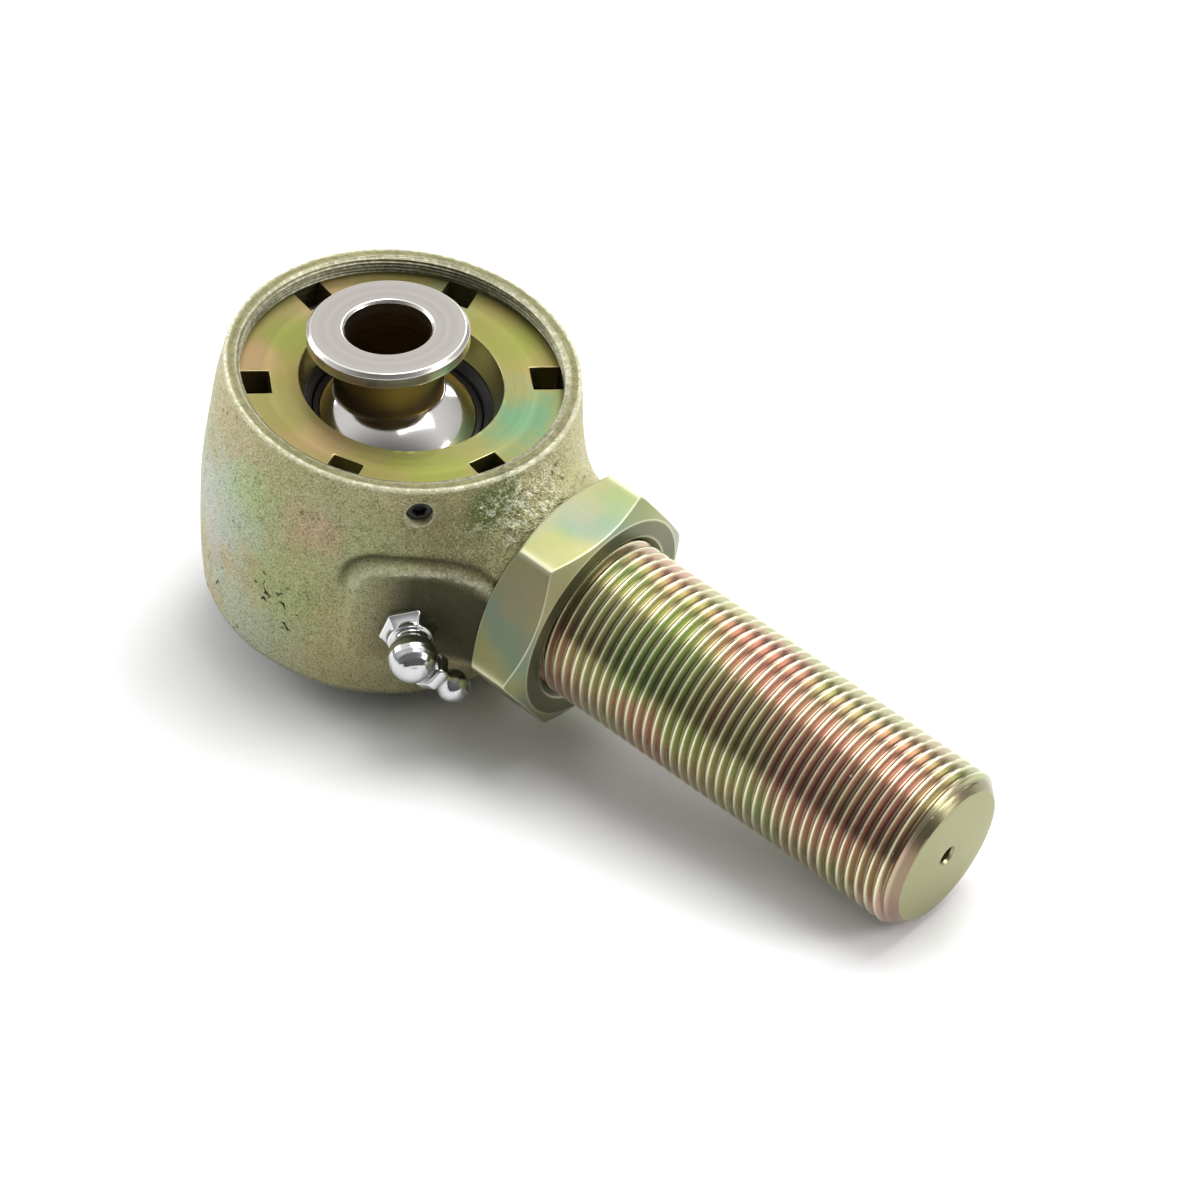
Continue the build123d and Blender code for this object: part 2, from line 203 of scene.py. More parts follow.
def dents(u, v, seed, number, span_u, span_v, depth, width):
    """Sum of round hollows at seeded places: depth times exp(-distance squared / width squared)."""
    random = np.random.default_rng(seed)
    total = np.zeros(np.broadcast(u, v).shape)
    for _ in range(number):
        at_u = random.uniform(*span_u)
        at_v = random.uniform(*span_v)
        size = width * random.uniform(0.5, 1.3)
        total += depth * random.uniform(0.3, 1.0) * np.exp(-((u - at_u) ** 2 + (v - at_v) ** 2) / size**2)
    return total


# ---------------------------------------------------------------- forged housing

barrel_mid_r = 34.9
rim_r = 32.7
half_height = 26.3
outer_corner = 0.6
foot_corner = 2.2
thread_bore_r = 30.08
ring_thread_pitch = 25.4 / 32
neck_r = 20.0
shoulder = 39.7
boss_inner_end = 15.0

# the screw hole's rows of points, as distances from its centre, and the skin's radius there
hole_floor_row = 2.44
hole_wall_row = 2.46
hole_edge_row = 2.62
hole_reach = 4.4
hole_floor_r = 30.14
skin_at_hole_r = 33.2


def barrel_radius(z):
    """Barrel's outer arc: a circle through the two rims and the widest point at mid height."""
    rise = barrel_mid_r - rim_r
    arc = (half_height**2 + rise**2) / (2 * rise)
    return barrel_mid_r - arc + np.sqrt(arc**2 - z**2)


def outside_boss(x, y, z):
    """Distance outside the rounded outline of the fitting's boss, seen square on, and the distance out."""
    along = y * cos(fitting_azimuth) - x * sin(fitting_azimuth)
    out = x * cos(fitting_azimuth) + y * sin(fitting_azimuth)
    middle_along, half_along, middle_up, half_up, corner_r = 2.3, 13.7, 2.6, 12.0, 5.0
    over_along = np.abs(along - middle_along) - half_along + corner_r
    over_up = np.abs(z - fitting_height - middle_up) - half_up + corner_r
    outline = np.hypot(np.maximum(over_along, 0), np.maximum(over_up, 0)) - corner_r
    return outline + np.minimum(np.maximum(over_along, over_up), 0), out


def outside_forging(r, theta, z):
    """Distance outside the forging, in millimetres: barrel arc, neck cylinder and fitting boss, each
    blended into the next. Negative inside."""
    x, y = r * np.cos(theta), r * np.sin(theta)
    barrel = r - barrel_radius(z)
    neck = soft_max(np.hypot(y, z) - neck_r, x - shoulder, 1.5)
    neck = np.maximum(neck, -x)
    outline, out = outside_boss(x, y, z)
    boss = soft_max(outline, out - boss_face, 1.2)
    boss = np.maximum(boss, boss_inner_end - out)
    return soft_min(soft_min(barrel, neck, 8.0), boss, 1.8)


def from_fitting(theta):
    """Angle round the barrel from the fitting, between minus and plus half a turn."""
    return (theta - fitting_azimuth + pi) % (2 * pi) - pi


def outer_grid():
    """Angles and heights of the outer skin, and each point's distance from the screw hole's centre before
    it moves. Within reach of the hole the grid's squares are drawn into circles round it."""
    hole_lines = np.array([hole_floor_row, hole_wall_row, hole_edge_row, 2.95, 3.4, 3.9, hole_reach])
    hole_lines = np.concatenate([-hole_lines[::-1], np.linspace(-2.2, 2.2, 11), hole_lines])
    hole_angles = hole_lines / skin_at_hole_r
    around = np.linspace(hole_angles[-1], 2 * pi + hole_angles[0], 392)[1:-1]
    theta = fitting_azimuth + np.concatenate([hole_angles, around])
    low_rows = np.linspace(foot_corner - half_height, screw_height - hole_reach, 80)[:-1]
    z = np.concatenate([low_rows, screw_height + hole_lines, [half_height - outer_corner]])
    theta, z = np.meshgrid(theta, z, indexing="ij")
    across_hole = from_fitting(theta) * skin_at_hole_r
    up_hole = z - screw_height
    square = np.maximum(np.abs(across_hole), np.abs(up_hole))
    circle = np.maximum(np.hypot(across_hole, up_hole), 1e-9)
    far = np.clip((square - hole_edge_row) / (hole_reach - hole_edge_row), 0, 1)
    far = far * far * (3 - 2 * far)
    near = square < hole_reach
    draw = np.where(near, square / circle * (1 - far) + far, 1.0)
    theta = np.where(near, fitting_azimuth + across_hole * draw / skin_at_hole_r, theta)
    z = np.where(near, screw_height + up_hole * draw, z)
    return theta, z, square


def outer_skin(theta, z, square):
    """Radius of the outer skin, where the forging distance is nought, found by halving, with the forging's
    unevenness, the rolled ledge round the boss, dents and the screw hole. Also its edge mark, and its
    painted-shade mark for the boss face and the groove above the ledge."""
    low, high = np.full(z.shape, 24.0), np.full(z.shape, 46.0)
    for _ in range(30):
        middle = (low + high) / 2
        inside = outside_forging(middle, theta, z) < 0
        low, high = np.where(inside, middle, low), np.where(inside, high, middle)
    r = (low + high) / 2
    turn = from_fitting(theta)
    uneven = 0.07 * np.sin(5 * turn + z / 7) + 0.05 * np.sin(11 * turn - z / 5 + 1)
    uneven += 0.04 * np.sin(z / 3 + 3 * turn)
    r = r + uneven * np.clip((half_height - 3 - z) / 6, 0, 1)
    outline, out = outside_boss(r * np.cos(theta), r * np.sin(theta), z)
    on_boss_side = out > boss_inner_end
    upper_side = np.clip((z - 1) / 6, 0, 1) * on_boss_side
    lumps = 0.65 + 0.3 * np.sin(turn * 61 + 2 * np.sin(z)) * np.cos(z * 1.7 + turn * 23)
    lumps += 0.22 * np.sin(turn * 130 + z * 2.3) * np.sin(turn * 47 - z * 3.1)
    ledge = np.exp(-(((outline + 0.8) / 0.8) ** 2)) * upper_side
    groove = np.exp(-(((outline - 1.1) / 0.7) ** 2)) * upper_side
    r += 1.05 * ledge * lumps - 0.55 * groove
    across_skin = turn * 34
    # painted shade over the boss face, fading in from its left end, and in the groove above the ledge
    painted_shade = np.clip(-outline / 3, 0, 1) * on_boss_side * np.clip((across_skin + 9) / 9, 0, 1)
    r -= dents(across_skin, z, 3, 26, (-100, 100), (-24, 16), 0.14, 1.5)
    r -= dents(across_skin, z, 8, 9, (-66, -48), (-16, -2), 0.4, 0.9)
    r -= dents(across_skin, z, 11, 8, (-31, -23), (-14, -1), 0.5, 0.75)
    outside_floor = square > (hole_floor_row + hole_wall_row) / 2
    r = np.where(outside_floor, r, hole_floor_r)
    r = np.where(outside_floor & (square < hole_wall_row + 0.01), r - 0.14, r)
    # the edge mark is painted as a bright highlight along the ledge's ridge
    edge = 0.9 * ledge * lumps
    edge[outside_floor & (square < hole_edge_row + 0.01)] = 0.5
    edge[:, -1] = 0.5
    return r, edge, np.maximum(painted_shade, 0.9 * groove)


def housing_forging():
    """Closed skin over angle and section row: the outer skin, the rim, the helical thread of the mouth,
    the race bore, the bottom lip and the foot recess."""
    theta, z, square = outer_grid()
    r, edge, painted_shade = outer_skin(theta, z, square)
    columns = theta[:, :1]
    top_r = r[:, -1:]
    bottom_r = r[:, :1]

    def ring_rows(radius, height, marked):
        full = np.broadcast_arrays(radius + 0 * columns, height + 0 * columns, marked + 0 * columns)
        return np.stack(full, axis=-1)

    bend = np.linspace(0, pi / 2, 6)[None, 1:]
    corner_r = top_r - outer_corner * (1 - np.cos(bend))
    top_corner = ring_rows(corner_r, half_height - outer_corner + outer_corner * np.sin(bend), 0.75 + 0 * bend)
    rim = np.array([[31.9, 31.2, 30.75, 30.6, 30.35]])
    rim_z = np.array([[26.3, 26.3, 26.3, 26.26, 26.0]])
    rim_rows = ring_rows(rim + 0.04 * np.sin(9 * columns), rim_z, np.array([[0.05, 0.0, 0.1, 0.7, 0.5]]))
    thread_z = np.linspace(25.9, 23.0, 30)[None, :]
    wave = (thread_z / ring_thread_pitch - columns / (2 * pi)) % 1.0
    tooth = np.clip(1.15 - np.abs(wave - 0.5) * 2.6, 0, 1)
    thread = ring_rows(thread_bore_r + 0.1 - 0.5 * tooth, thread_z, 0.55 * tooth)
    section = [
        (thread_bore_r, 22.8), (thread_bore_r, 16.5), (27.48, 16.5), (27.48, -17.5), (17.3, -17.5),
        (18.8, -23.0), (28.6, -23.0), (29.2, -half_height), (rim_r - foot_corner, -half_height),
    ]
    inner = eased(section, 0.3)[2:-3]
    inner_rows = ring_rows(inner[None, :, 0], inner[None, :, 1], inner[None, :, 2])
    foot = np.linspace(pi / 2, 0, 7)[None, :-1]
    foot_r = bottom_r - foot_corner * (1 - np.cos(foot))
    foot_rows = ring_rows(foot_r, foot_corner - half_height - foot_corner * np.sin(foot), 0.3 + 0 * foot)
    outer = np.stack([r, z, edge], axis=-1)
    rows = np.concatenate([outer, top_corner, rim_rows, thread, inner_rows, foot_rows], axis=1)
    lines, count = rows.shape[:2]
    outer_count = z.shape[1]
    angle = np.concatenate([theta, np.broadcast_to(columns, (lines, count - outer_count))], axis=1)
    points = about_z(rows[..., 0], angle, rows[..., 1])
    machined = np.zeros((lines, count))
    machined[:, outer_count + 3 : count - foot_rows.shape[1] + 1] = 1
    # painted shade: the boss face and groove from the outer skin, and three quarters over the mouth's thread, the
    # bore, the bottom lip and the foot
    shaded = np.zeros((lines, count))
    shaded[:, :outer_count] = painted_shade
    shaded[:, outer_count + top_corner.shape[1] + rim_rows.shape[1] :] = 0.75
    faces = grid_faces(lines, count, True, True)
    marks = {"edge": rows[..., 2], "machined": machined, "painted_shade": shaded}
    return make_piece("forged_housing", placed(points.reshape(-1, 3), barrel_place), faces, marks, 55)


# ---------------------------------------------------------------- threaded shank

shank_r = 15.875
shank_pitch = 25.4 / 12
shank_depth = 0.6134 * shank_pitch
shank_end = 131.8
shank_chamfer = 2.45
shank_start = 39.0


def threaded_shank():
    """Skin whose rows wind round the shank: a row lies at its place plus pitch times angle over a full
    turn, so that each row keeps one height on the thread's flank. The end's chamfer cone and the
    centre drilling close it."""
    share = np.array([-0.0625, 0.0625, 0.085, 0.23, 0.35, 0.42, 0.5, 0.58, 0.65, 0.77, 0.915])
    height = np.array([1.0, 1.0, 0.95, 0.47, 0.11, 0.02, 0.0, 0.02, 0.11, 0.47, 0.95])
    first, last = int(shank_start / shank_pitch) - 1, int(shank_end / shank_pitch) + 1
    turns = np.arange(first, last + 1)[:, None]
    row = ((turns + share) * shank_pitch).ravel()
    level = np.tile(height, len(turns))
    angle = np.linspace(0, 2 * pi, 129)[:, None]
    x = np.clip(row[None, :] - shank_pitch + shank_pitch * angle / (2 * pi), shank_start, shank_end)
    root_r = shank_r - shank_depth
    r = root_r + level[None, :] * shank_depth
    r = np.minimum(r, shank_r - shank_chamfer + (shank_end - x))
    r = np.where(x <= shank_start + 1e-6, root_r, r)
    crest = np.clip((r - root_r) / shank_depth, 0, 1)
    cap_r = np.array([13.3, 13.15, 11.0, 6.0, 2.5, 2.1, 1.95, 1.7, 1.5, 0.0])
    cap_x = shank_end + np.array([0.05, 0.07, 0.07, 0.07, 0.07, 0.05, -0.08, -0.5, -2.8, -3.5])
    cap_crest = np.array([1.0, 0.8, 0.5, 0.5, 0.5, 0.9, 0.9, 0.0, 0.0, 0.0])
    ones = np.ones_like(angle)
    all_r = np.concatenate([0 * ones, r, cap_r[None, :] * ones], axis=1)
    all_x = np.concatenate([shank_start * ones, x, cap_x[None, :] * ones], axis=1)
    all_crest = np.concatenate([0 * ones, crest, cap_crest[None, :] * ones], axis=1)
    flat = np.concatenate([0 * ones, 0 * r, (cap_crest[None, :] > 0) * ones], axis=1)
    points = about_z(all_r, angle, all_x)
    faces = grid_faces(points.shape[0], points.shape[1], False, False)
    marks = {"crest": all_crest, "end_face": flat}
    return make_piece("threaded_shank", placed(points.reshape(-1, 3), shank_place), faces, marks, 24)


# ---------------------------------------------------------------- jam nut

nut_start = 39.8
nut_end = 51.8
nut_face_r = 20.6
nut_half_flats = 21.4
nut_corner = radians(7.0)


def hex_jam_nut():
    """Skin over angle and section row. The flats' radius is half the width over the cosine of the angle
    from the flat's middle; each 30 degree chamfer cone meets it at a crease that is its own row."""
    sweep = np.linspace(-1, 1, 25)[:-1]
    from_middle = radians(30) * np.sin(sweep * pi / 2)
    flats = np.arange(6)[:, None] * pi / 3 + pi / 6
    angle = (nut_corner + flats + from_middle[None, :]).reshape(-1, 1)
    flat_r = nut_half_flats / np.cos(np.tile(from_middle, 6))[:, None]
    flat_r = soft_min(flat_r, np.full_like(flat_r, 24.5), 0.5)
    crease = (flat_r - nut_face_r) * tan(radians(30))
    near = np.minimum(0.18, 0.3 * crease)
    half = [
        (15.96, 1.1, 0.0), (16.9, 0.12, 0.0), (17.0, 0.03, 1.0), (17.12, 0.0, 0.6), (17.5, 0.0, 0.0),
        (20.2, 0.0, 0.0), (20.5, 0.01, 0.6), (20.62, 0.05, 1.0), (20.8, 0.15, 0.1),
        (flat_r - near * 1.5, crease - near * 0.86, 0.1),
        (flat_r - near * 0.5, crease - near * 0.25, 0.9),
        (flat_r - near * 0.15, crease + near * 0.15, 1.0),
        (flat_r, crease + near * 0.8, 0.1),
        (flat_r, crease + near * 2.2, 0.0),
    ]
    flat_rows = slice(11, 17)
    lower = [(r, nut_start + x, mark) for r, x, mark in half]
    upper = [(r, nut_end - x, mark) for r, x, mark in reversed(half)]
    ones = np.ones_like(angle)
    columns = zip(*(lower + upper))
    radius, along, edge = (np.concatenate([value * ones for value in column], axis=1) for column in columns)
    # the hexagon's corner lines join the edge mark, which the nut's material paints as highlight
    corner_line = np.exp(-((np.abs(from_middle) - radians(30)) / radians(1.6)) ** 2)
    corner_line = np.tile(corner_line, 6)[:, None]
    edge[:, flat_rows] = np.maximum(edge[:, flat_rows], corner_line)
    points = about_z(radius, angle, along)
    faces = grid_faces(points.shape[0], points.shape[1], True, True)
    return make_piece("hex_jam_nut", placed(points.reshape(-1, 3), shank_place), faces, {"edge": edge}, 40)


# ---------------------------------------------------------------- adjusting ring

ring_bottom = 17.6
ring_top = 23.0
ring_r = 30.0
notch_half = 2.95
notch_inner = 24.0
notch_azimuth = radians(49.0)


def adjusting_ring():
    """Flat ring between two sheets of the same grid. Grid lines beside a notch bend to stay half the
    notch's width from its centre line; the cells within a notch are left out, and every side where a
    kept cell has no neighbour becomes a wall between the sheets. The mouth is wider at the top."""
    edge_r = np.hypot(notch_inner, notch_half)
    edge_angle = np.arcsin(notch_half / edge_r)
    in_notch = np.linspace(-edge_angle, edge_angle, 7)
    tooth = np.linspace(0, 1, 25)[1:-1]
    radii = np.array([18.8, 18.95, 19.6, 21.5, 23.0, edge_r, 26.0, 28.0, 29.6, ring_r])
    inner_row = 5
    slope = np.arcsin(notch_half / np.maximum(radii, edge_r))
    notch_angles = np.broadcast_to(in_notch[:, None], (7, 10)).copy()
    notch_angles[0] = -slope
    notch_angles[-1] = slope
    tooth_angles = slope + tooth[:, None] * (pi / 3 - 2 * slope)
    angles = np.concatenate([notch_angles, tooth_angles])
    notch_radii = np.broadcast_to(radii, (7, 10)).copy()
    bend = notch_inner / np.cos(in_notch)
    notch_radii[:, inner_row] = bend
    tooth_radii = np.broadcast_to(radii, (len(tooth), 10))
    radius = np.tile(np.concatenate([notch_radii, tooth_radii]), (6, 1))
    angle = np.concatenate([angles + notch_azimuth + k * pi / 3 for k in range(6)])
    lines, rows = radius.shape
    kept = np.ones((lines // 6, rows - 1), bool)
    kept[:6, inner_row:] = False
    kept = np.tile(kept, (6, 1))
    lower_radius = radius.copy()
    lower_radius[:, :2] = 17.3, 18.6
    top = about_z(radius, angle, np.full_like(radius, ring_top))
    low = about_z(lower_radius, angle, np.full_like(radius, ring_bottom))
    points = np.concatenate([top.reshape(-1, 3), low.reshape(-1, 3)])
    index = np.arange(lines * rows).reshape(lines, rows)
    ahead = np.roll(index, -1, axis=0)
    cells = np.stack([index[:, :-1], ahead[:, :-1], ahead[:, 1:], index[:, 1:]], axis=-1)
    sheet = cells[kept]
    shift = lines * rows
    previous = np.roll(kept, 1, axis=0)
    side = kept != previous
    column_walls = np.stack([index[:, :-1], index[:, 1:]], axis=-1)[side]
    padded = np.pad(kept, ((0, 0), (1, 1)))
    step = padded[:, 1:] != padded[:, :-1]
    row_walls = np.stack([index, ahead], axis=-1)[step]
    walls = np.concatenate([column_walls, row_walls])
    walls = np.stack([walls[:, 0], walls[:, 1], walls[:, 1] + shift, walls[:, 0] + shift], axis=-1)
    faces = np.concatenate([sheet, sheet[:, ::-1] + shift, walls])
    marks = {"edge": np.zeros(len(points))}
    ring = make_piece("adjusting_ring", placed(points, barrel_place), faces, marks, 40)
    tidy = bmesh.new()
    tidy.from_mesh(ring.data)
    loose = [v for v in tidy.verts if not v.link_faces]
    bmesh.ops.delete(tidy, geom=loose, context="VERTS")
    bmesh.ops.recalc_face_normals(tidy, faces=tidy.faces)
    tidy.to_mesh(ring.data)
    tidy.free()
    bevel = ring.modifiers.new("broken_edges", "BEVEL")
    bevel.width = 0.00016
    bevel.segments = 2
    bevel.limit_method = "ANGLE"
    bevel.angle_limit = radians(50)
    return ring


# ---------------------------------------------------------------- ball, races and spacers

ball_r = 22.225
spool_half = 33.3375


def chrome_ball():
    """Closed outline of a sphere cut flat at both sides and bored, turned about the bolt axis."""
    top_angle = np.arcsin(19.6 / ball_r)
    arc = np.linspace(-top_angle, top_angle, 61)
    sphere = np.stack([ball_r * np.cos(arc), ball_r * np.sin(arc), 0 * arc], axis=-1)
    bore = eased([(10.2, 19.6), (9.6, 19.1), (9.6, -19.1), (10.2, -19.6)], 0.2)
    return turned("chrome_ball", np.concatenate([sphere, bore]), spool_place, 192)


def race(name, side):
    """Closed outline of a race: a cylinder with a spherical seat and a rounded lip at its mouth."""
    seat_r = ball_r + 0.08
    low_angle = np.arcsin(0.3 / seat_r)
    top_angle = np.arccos(15.9 / seat_r)
    arc = np.linspace(top_angle, low_angle, 31)
    seat = np.stack([seat_r * np.cos(arc), seat_r * np.sin(arc), 0 * arc], axis=-1)
    back = eased([(27.4, 0.3), (27.4, 17.4), (17.2, 17.4), (15.95, 15.9)], [0.3, 0.4, 0.5, 0.2])
    rows = np.concatenate([seat, back])
    rows[:, 1] *= side
    return turned(name, rows, barrel_place, 144)


def spacer(name, side):
    """Closed outline of a flanged spacer: stem in the ball, neck, flange with bevelled rims and a bore."""
    top = spool_half
    outline = [
        (7.9375, 0.05), (9.1, 0.05), (9.525, 0.45), (9.525, 19.6), (10.1, 19.65), (10.1, 29.45),
        (10.9, 30.2375), (14.6, 30.2375), (14.9, 30.55), (14.9, top - 0.7), (14.2, top), (8.45, top),
        (7.9375, top - 0.5),
    ]
    ease = [0.1, 0.1, 0.1, 0.1, 0.1, 0.4, 0.3, 0.12, 0.12, 0.16, 0.16, 0.14, 0.14]
    rows = eased(outline, ease, 5)
    rows[:, 1] *= side
    return turned(name, rows, spool_place, 160)


# ---------------------------------------------------------------- grease fitting and set screw


def grease_elbow():
    """Turned about the outward axis: hexagon base, facets tapering to a collar, and a ball with fine
    turning rings, a ripple of its polar radius."""
    ball_radius, waist_r = 4.55, 3.2
    start = pi - np.arcsin(waist_r / ball_radius)
    polar = np.linspace(start, 0, 70)
    ripple = 0.016 * np.sin(polar * 26) * np.sin(np.clip(polar / 0.5, 0, 1) * pi / 2)
    ball_section = (ball_radius + ripple) * np.sin(polar)
    ball_rows = np.stack([ball_section, elbow_reach + (ball_radius + ripple) * np.cos(polar), 0 * polar], axis=-1)
    base = np.array(
        [
            (0.0, -0.8, 0, 1), (5.3, -0.8, 0, 1), (5.3, 0.0, 0, 1), (5.55, 0.12, 0.6, 1), (5.6, 0.3, 0, 1),
            (5.6, 1.3, 0, 1), (5.57, 1.46, 0.9, 1), (5.46, 1.6, 0.9, 1), (5.36, 1.72, 0, 1),
            (4.9, 2.5, 0, 0.95), (4.45, 3.3, 0, 0.75), (4.3, 3.5, 0.3, 0.5), (4.15, 3.66, 1.0, 0.12),
            (4.1, 3.76, 1.0, 0), (3.98, 3.86, 1.0, 0), (3.8, 3.9, 0.3, 0), (3.35, 4.05, 0, 0),
            (3.2, 4.3, 0, 0), (3.2, 4.85, 0, 0),
        ]
    )
    rows = np.concatenate([base[:, :3], ball_rows])
    facets = np.concatenate([base[:, 3], 0 * polar])
    return turned("grease_elbow_body", rows, fitting_place, 96, facets, radians(15), 42)


def grease_nipple():
    """Turned about its own axis: stem, hexagon collar, waist and bulb head with a small mouth."""
    rows = np.array(
        [
            (0.9, 2.3, 0, 0), (2.2, 2.3, 0, 0), (2.2, 4.1, 0, 0), (3.3, 4.25, 0, 1), (3.55, 4.35, 0.7, 1),
            (3.66, 4.6, 0.1, 1), (3.66, 5.9, 0.1, 1), (3.55, 6.15, 0.7, 1), (3.3, 6.25, 0, 1),
            (2.75, 6.3, 0.2, 0.3), (2.3, 6.7, 0, 0), (2.0, 7.3, 0, 0), (2.0, 7.9, 0, 0), (2.25, 8.6, 0, 0),
            (2.65, 9.2, 0, 0), (2.92, 9.7, 0, 0), (3.04, 10.2, 0, 0), (3.08, 10.7, 0, 0), (3.0, 11.3, 0, 0),
            (2.8, 11.9, 0, 0), (2.5, 12.6, 0, 0), (2.15, 13.1, 0.2, 0), (1.85, 13.33, 0.7, 0),
            (1.5, 13.4, 0.3, 0), (0.95, 13.4, 0.3, 0), (0.8, 13.3, 0.9, 0), (0.75, 13.1, 0, 0),
            (0.75, 12.9, 0, 0), (1.25, 12.3, 0, 0), (1.25, 5.9, 0, 0), (0.9, 5.8, 0, 0),
        ]
    )
    return turned("grease_nipple_body", rows[:, :3], nipple_place, 72, rows[:, 3], radians(10), 42)


def headless_screw():
    """Turned about the outward axis, with a hexagon socket in its outer face."""
    tip, length = 30.12, 2.3
    end = tip + length
    rows = np.array(
        [
            (0.0, tip, 0, 0), (1.8, tip, 0, 0), (2.4, tip + 0.5, 0, 0), (2.4, end - 0.3, 0, 0),
            (2.15, end - 0.04, 1, 0), (2.05, end, 1, 0), (1.55, end, 0.5, 0.8), (1.42, end - 0.08, 1, 1),
            (1.37, end - 0.2, 0.4, 1), (1.37, end - 1.25, 0, 1), (0.0, end - 1.5, 0, 0),
        ]
    )
    return turned("headless_set_screw", rows[:, :3], screw_place, 60, rows[:, 3], 0.3, 40)


# ---------------------------------------------------------------- node helpers


def new_group(name, inputs, outputs):
    """Shader node group, its given sockets and its result sockets. Inputs are (name, kind, value), outputs
    (name, kind)."""
    group = bpy.data.node_groups.new(name, "ShaderNodeTree")
    for label, kind, value in inputs:
        socket = group.interface.new_socket(name=label, in_out="INPUT", socket_type="NodeSocket" + kind)
        socket.default_value = value
    for label, kind in outputs:
        group.interface.new_socket(name=label, in_out="OUTPUT", socket_type="NodeSocket" + kind)
    return group, group.nodes.new("NodeGroupInput").outputs, group.nodes.new("NodeGroupOutput").inputs


def put(tree, kind, inputs=None, **settings):
    """New node in the tree: settings are its properties, and inputs its sockets, linked or set."""
    node = tree.nodes.new(kind)
    for key, value in settings.items():
        setattr(node, key, value)
    for key, value in (inputs or {}).items():
        socket = node.inputs[key]
        if isinstance(value, bpy.types.NodeSocket):
            tree.links.new(value, socket)
        else:
            socket.default_value = value
    return node


def maths(tree, operation, first, second=0.0, clamp=False):
    """One Math node's result."""
    return put(tree, "ShaderNodeMath", {0: first, 1: second}, operation=operation, use_clamp=clamp).outputs[0]


def times(tree, first, second, clamp=False):
    """Product of two values."""
    return maths(tree, "MULTIPLY", first, second, clamp)


def plus(tree, first, second):
    """Sum of two values."""
    return maths(tree, "ADD", first, second)


def minus(tree, first, second, clamp=False):
    """First value less the second."""
    return maths(tree, "SUBTRACT", first, second, clamp)


def vector(tree, operation, first, second=(0, 0, 0)):
    """One Vector Math node's result."""
    node = put(tree, "ShaderNodeVectorMath", {0: first, 1: second}, operation=operation)
    return node.outputs["Value" if operation in ("DISTANCE", "DOT_PRODUCT", "LENGTH") else "Vector"]


def blend_colour(tree, share, first, second):
    """One colour Mix node's result."""
    return put(tree, "ShaderNodeMix", {0: share, 6: first, 7: second}, data_type="RGBA").outputs[2]


def over(tree, colour, share, amount, tint, clamp=False):
    """Colour with a tint laid over it, by a share times an amount."""
    return blend_colour(tree, times(tree, share, amount, clamp), colour, (*tint, 1))


def ramp(tree, value, low, high):
    """Value carried smoothly from 0 at low to 1 at high."""
    node = put(tree, "ShaderNodeMapRange", {0: value, 1: low, 2: high}, interpolation_type="SMOOTHSTEP")
    return node.outputs[0]


def noise(tree, place, scale, detail=3.0, roughness=0.55, distortion=0.0):
    """One Noise texture's factor."""
    sockets = {"Vector": place, "Scale": scale, "Detail": detail, "Roughness": roughness, "Distortion": distortion}
    return put(tree, "ShaderNodeTexNoise", sockets).outputs["Fac"]


def object_place(tree):
    """Place of the shaded point in its piece's own coordinates, in metres."""
    return put(tree, "ShaderNodeTexCoord").outputs["Object"]


def mark_of(tree, name):
    """A number kept on the piece's points."""
    return put(tree, "ShaderNodeAttribute", attribute_name=name).outputs["Fac"]


def facing(tree, place):
    """Cosine of the angle between the surface's normal and the z axis of a place."""
    normal = put(tree, "ShaderNodeNewGeometry").outputs["Normal"]
    return vector(tree, "DOT_PRODUCT", normal, tuple(place[1][2]))


# ---------------------------------------------------------------- shared effects


def zinc_chromate_group():
    """Iridescent passivation over zinc: clouds of four tints, each with its own amount."""
    inputs = [
        ("Gold", "Color", (0.6, 0.55, 0.3, 1)), ("Green", "Color", (0.4, 0.5, 0.25, 1)),
        ("Blue", "Color", (0.4, 0.55, 0.5, 1)), ("Rose", "Color", (0.55, 0.4, 0.35, 1)),
        ("Cloud Scale", "Float", 60.0), ("Green Amount", "Float", 0.5), ("Blue Amount", "Float", 0.3),
        ("Rose Amount", "Float", 0.3),
    ]
    group, given, result = new_group("zinc_chromate", inputs, [("Color", "Color"), ("Cloud", "Float")])
    place = object_place(group)
    clouds = []
    for offset, factor in ((0.0, 1.0), (0.31, 0.8), (0.77, 1.25)):
        moved = vector(group, "ADD", place, (offset, -offset, offset))
        clouds.append(noise(group, moved, times(group, given["Cloud Scale"], factor), 2.0, 0.45, 0.25))
    colour = given["Gold"]
    for cloud, tint in zip(clouds, ("Green", "Blue", "Rose")):
        strength = times(group, ramp(group, cloud, 0.36, 0.66), given[tint + " Amount"], True)
        colour = blend_colour(group, strength, colour, given[tint])
    group.links.new(colour, result["Color"])
    group.links.new(clouds[0], result["Cloud"])
    return group


def forged_grain_group():
    """Scale-pitted forging skin: fine grain, shallow waves and scattered pits. Height is about 1, give or
    take."""
    inputs = [("Grain Scale", "Float", 1500.0), ("Pit Scale", "Float", 260.0), ("Pit Amount", "Float", 1.0)]
    group, given, result = new_group("forged_grain", inputs, [("Height", "Float"), ("Pits", "Float")])
    place = object_place(group)
    fine = noise(group, place, given["Grain Scale"], 3.0, 0.6)
    wide = noise(group, place, times(group, given["Grain Scale"], 0.22), 3.0, 0.6)
    ragged = vector(group, "ADD", times(group, wide, 0.004), place)
    sockets = {"Vector": ragged, "Scale": given["Pit Scale"], "Randomness": 1.0}
    cells = put(group, "ShaderNodeTexVoronoi", sockets).outputs["Distance"]
    chosen = ramp(group, noise(group, place, times(group, given["Pit Scale"], 0.3), 2.0), 0.58, 0.66)
    pits = times(group, minus(group, 1.0, ramp(group, cells, 0.05, 0.30)), chosen)
    pits = times(group, pits, given["Pit Amount"], True)
    height = plus(group, times(group, fine, 1.6), times(group, wide, 0.4))
    height = minus(group, height, times(group, pits, 1.2))
    group.links.new(height, result["Height"])
    group.links.new(pits, result["Pits"])
    return group


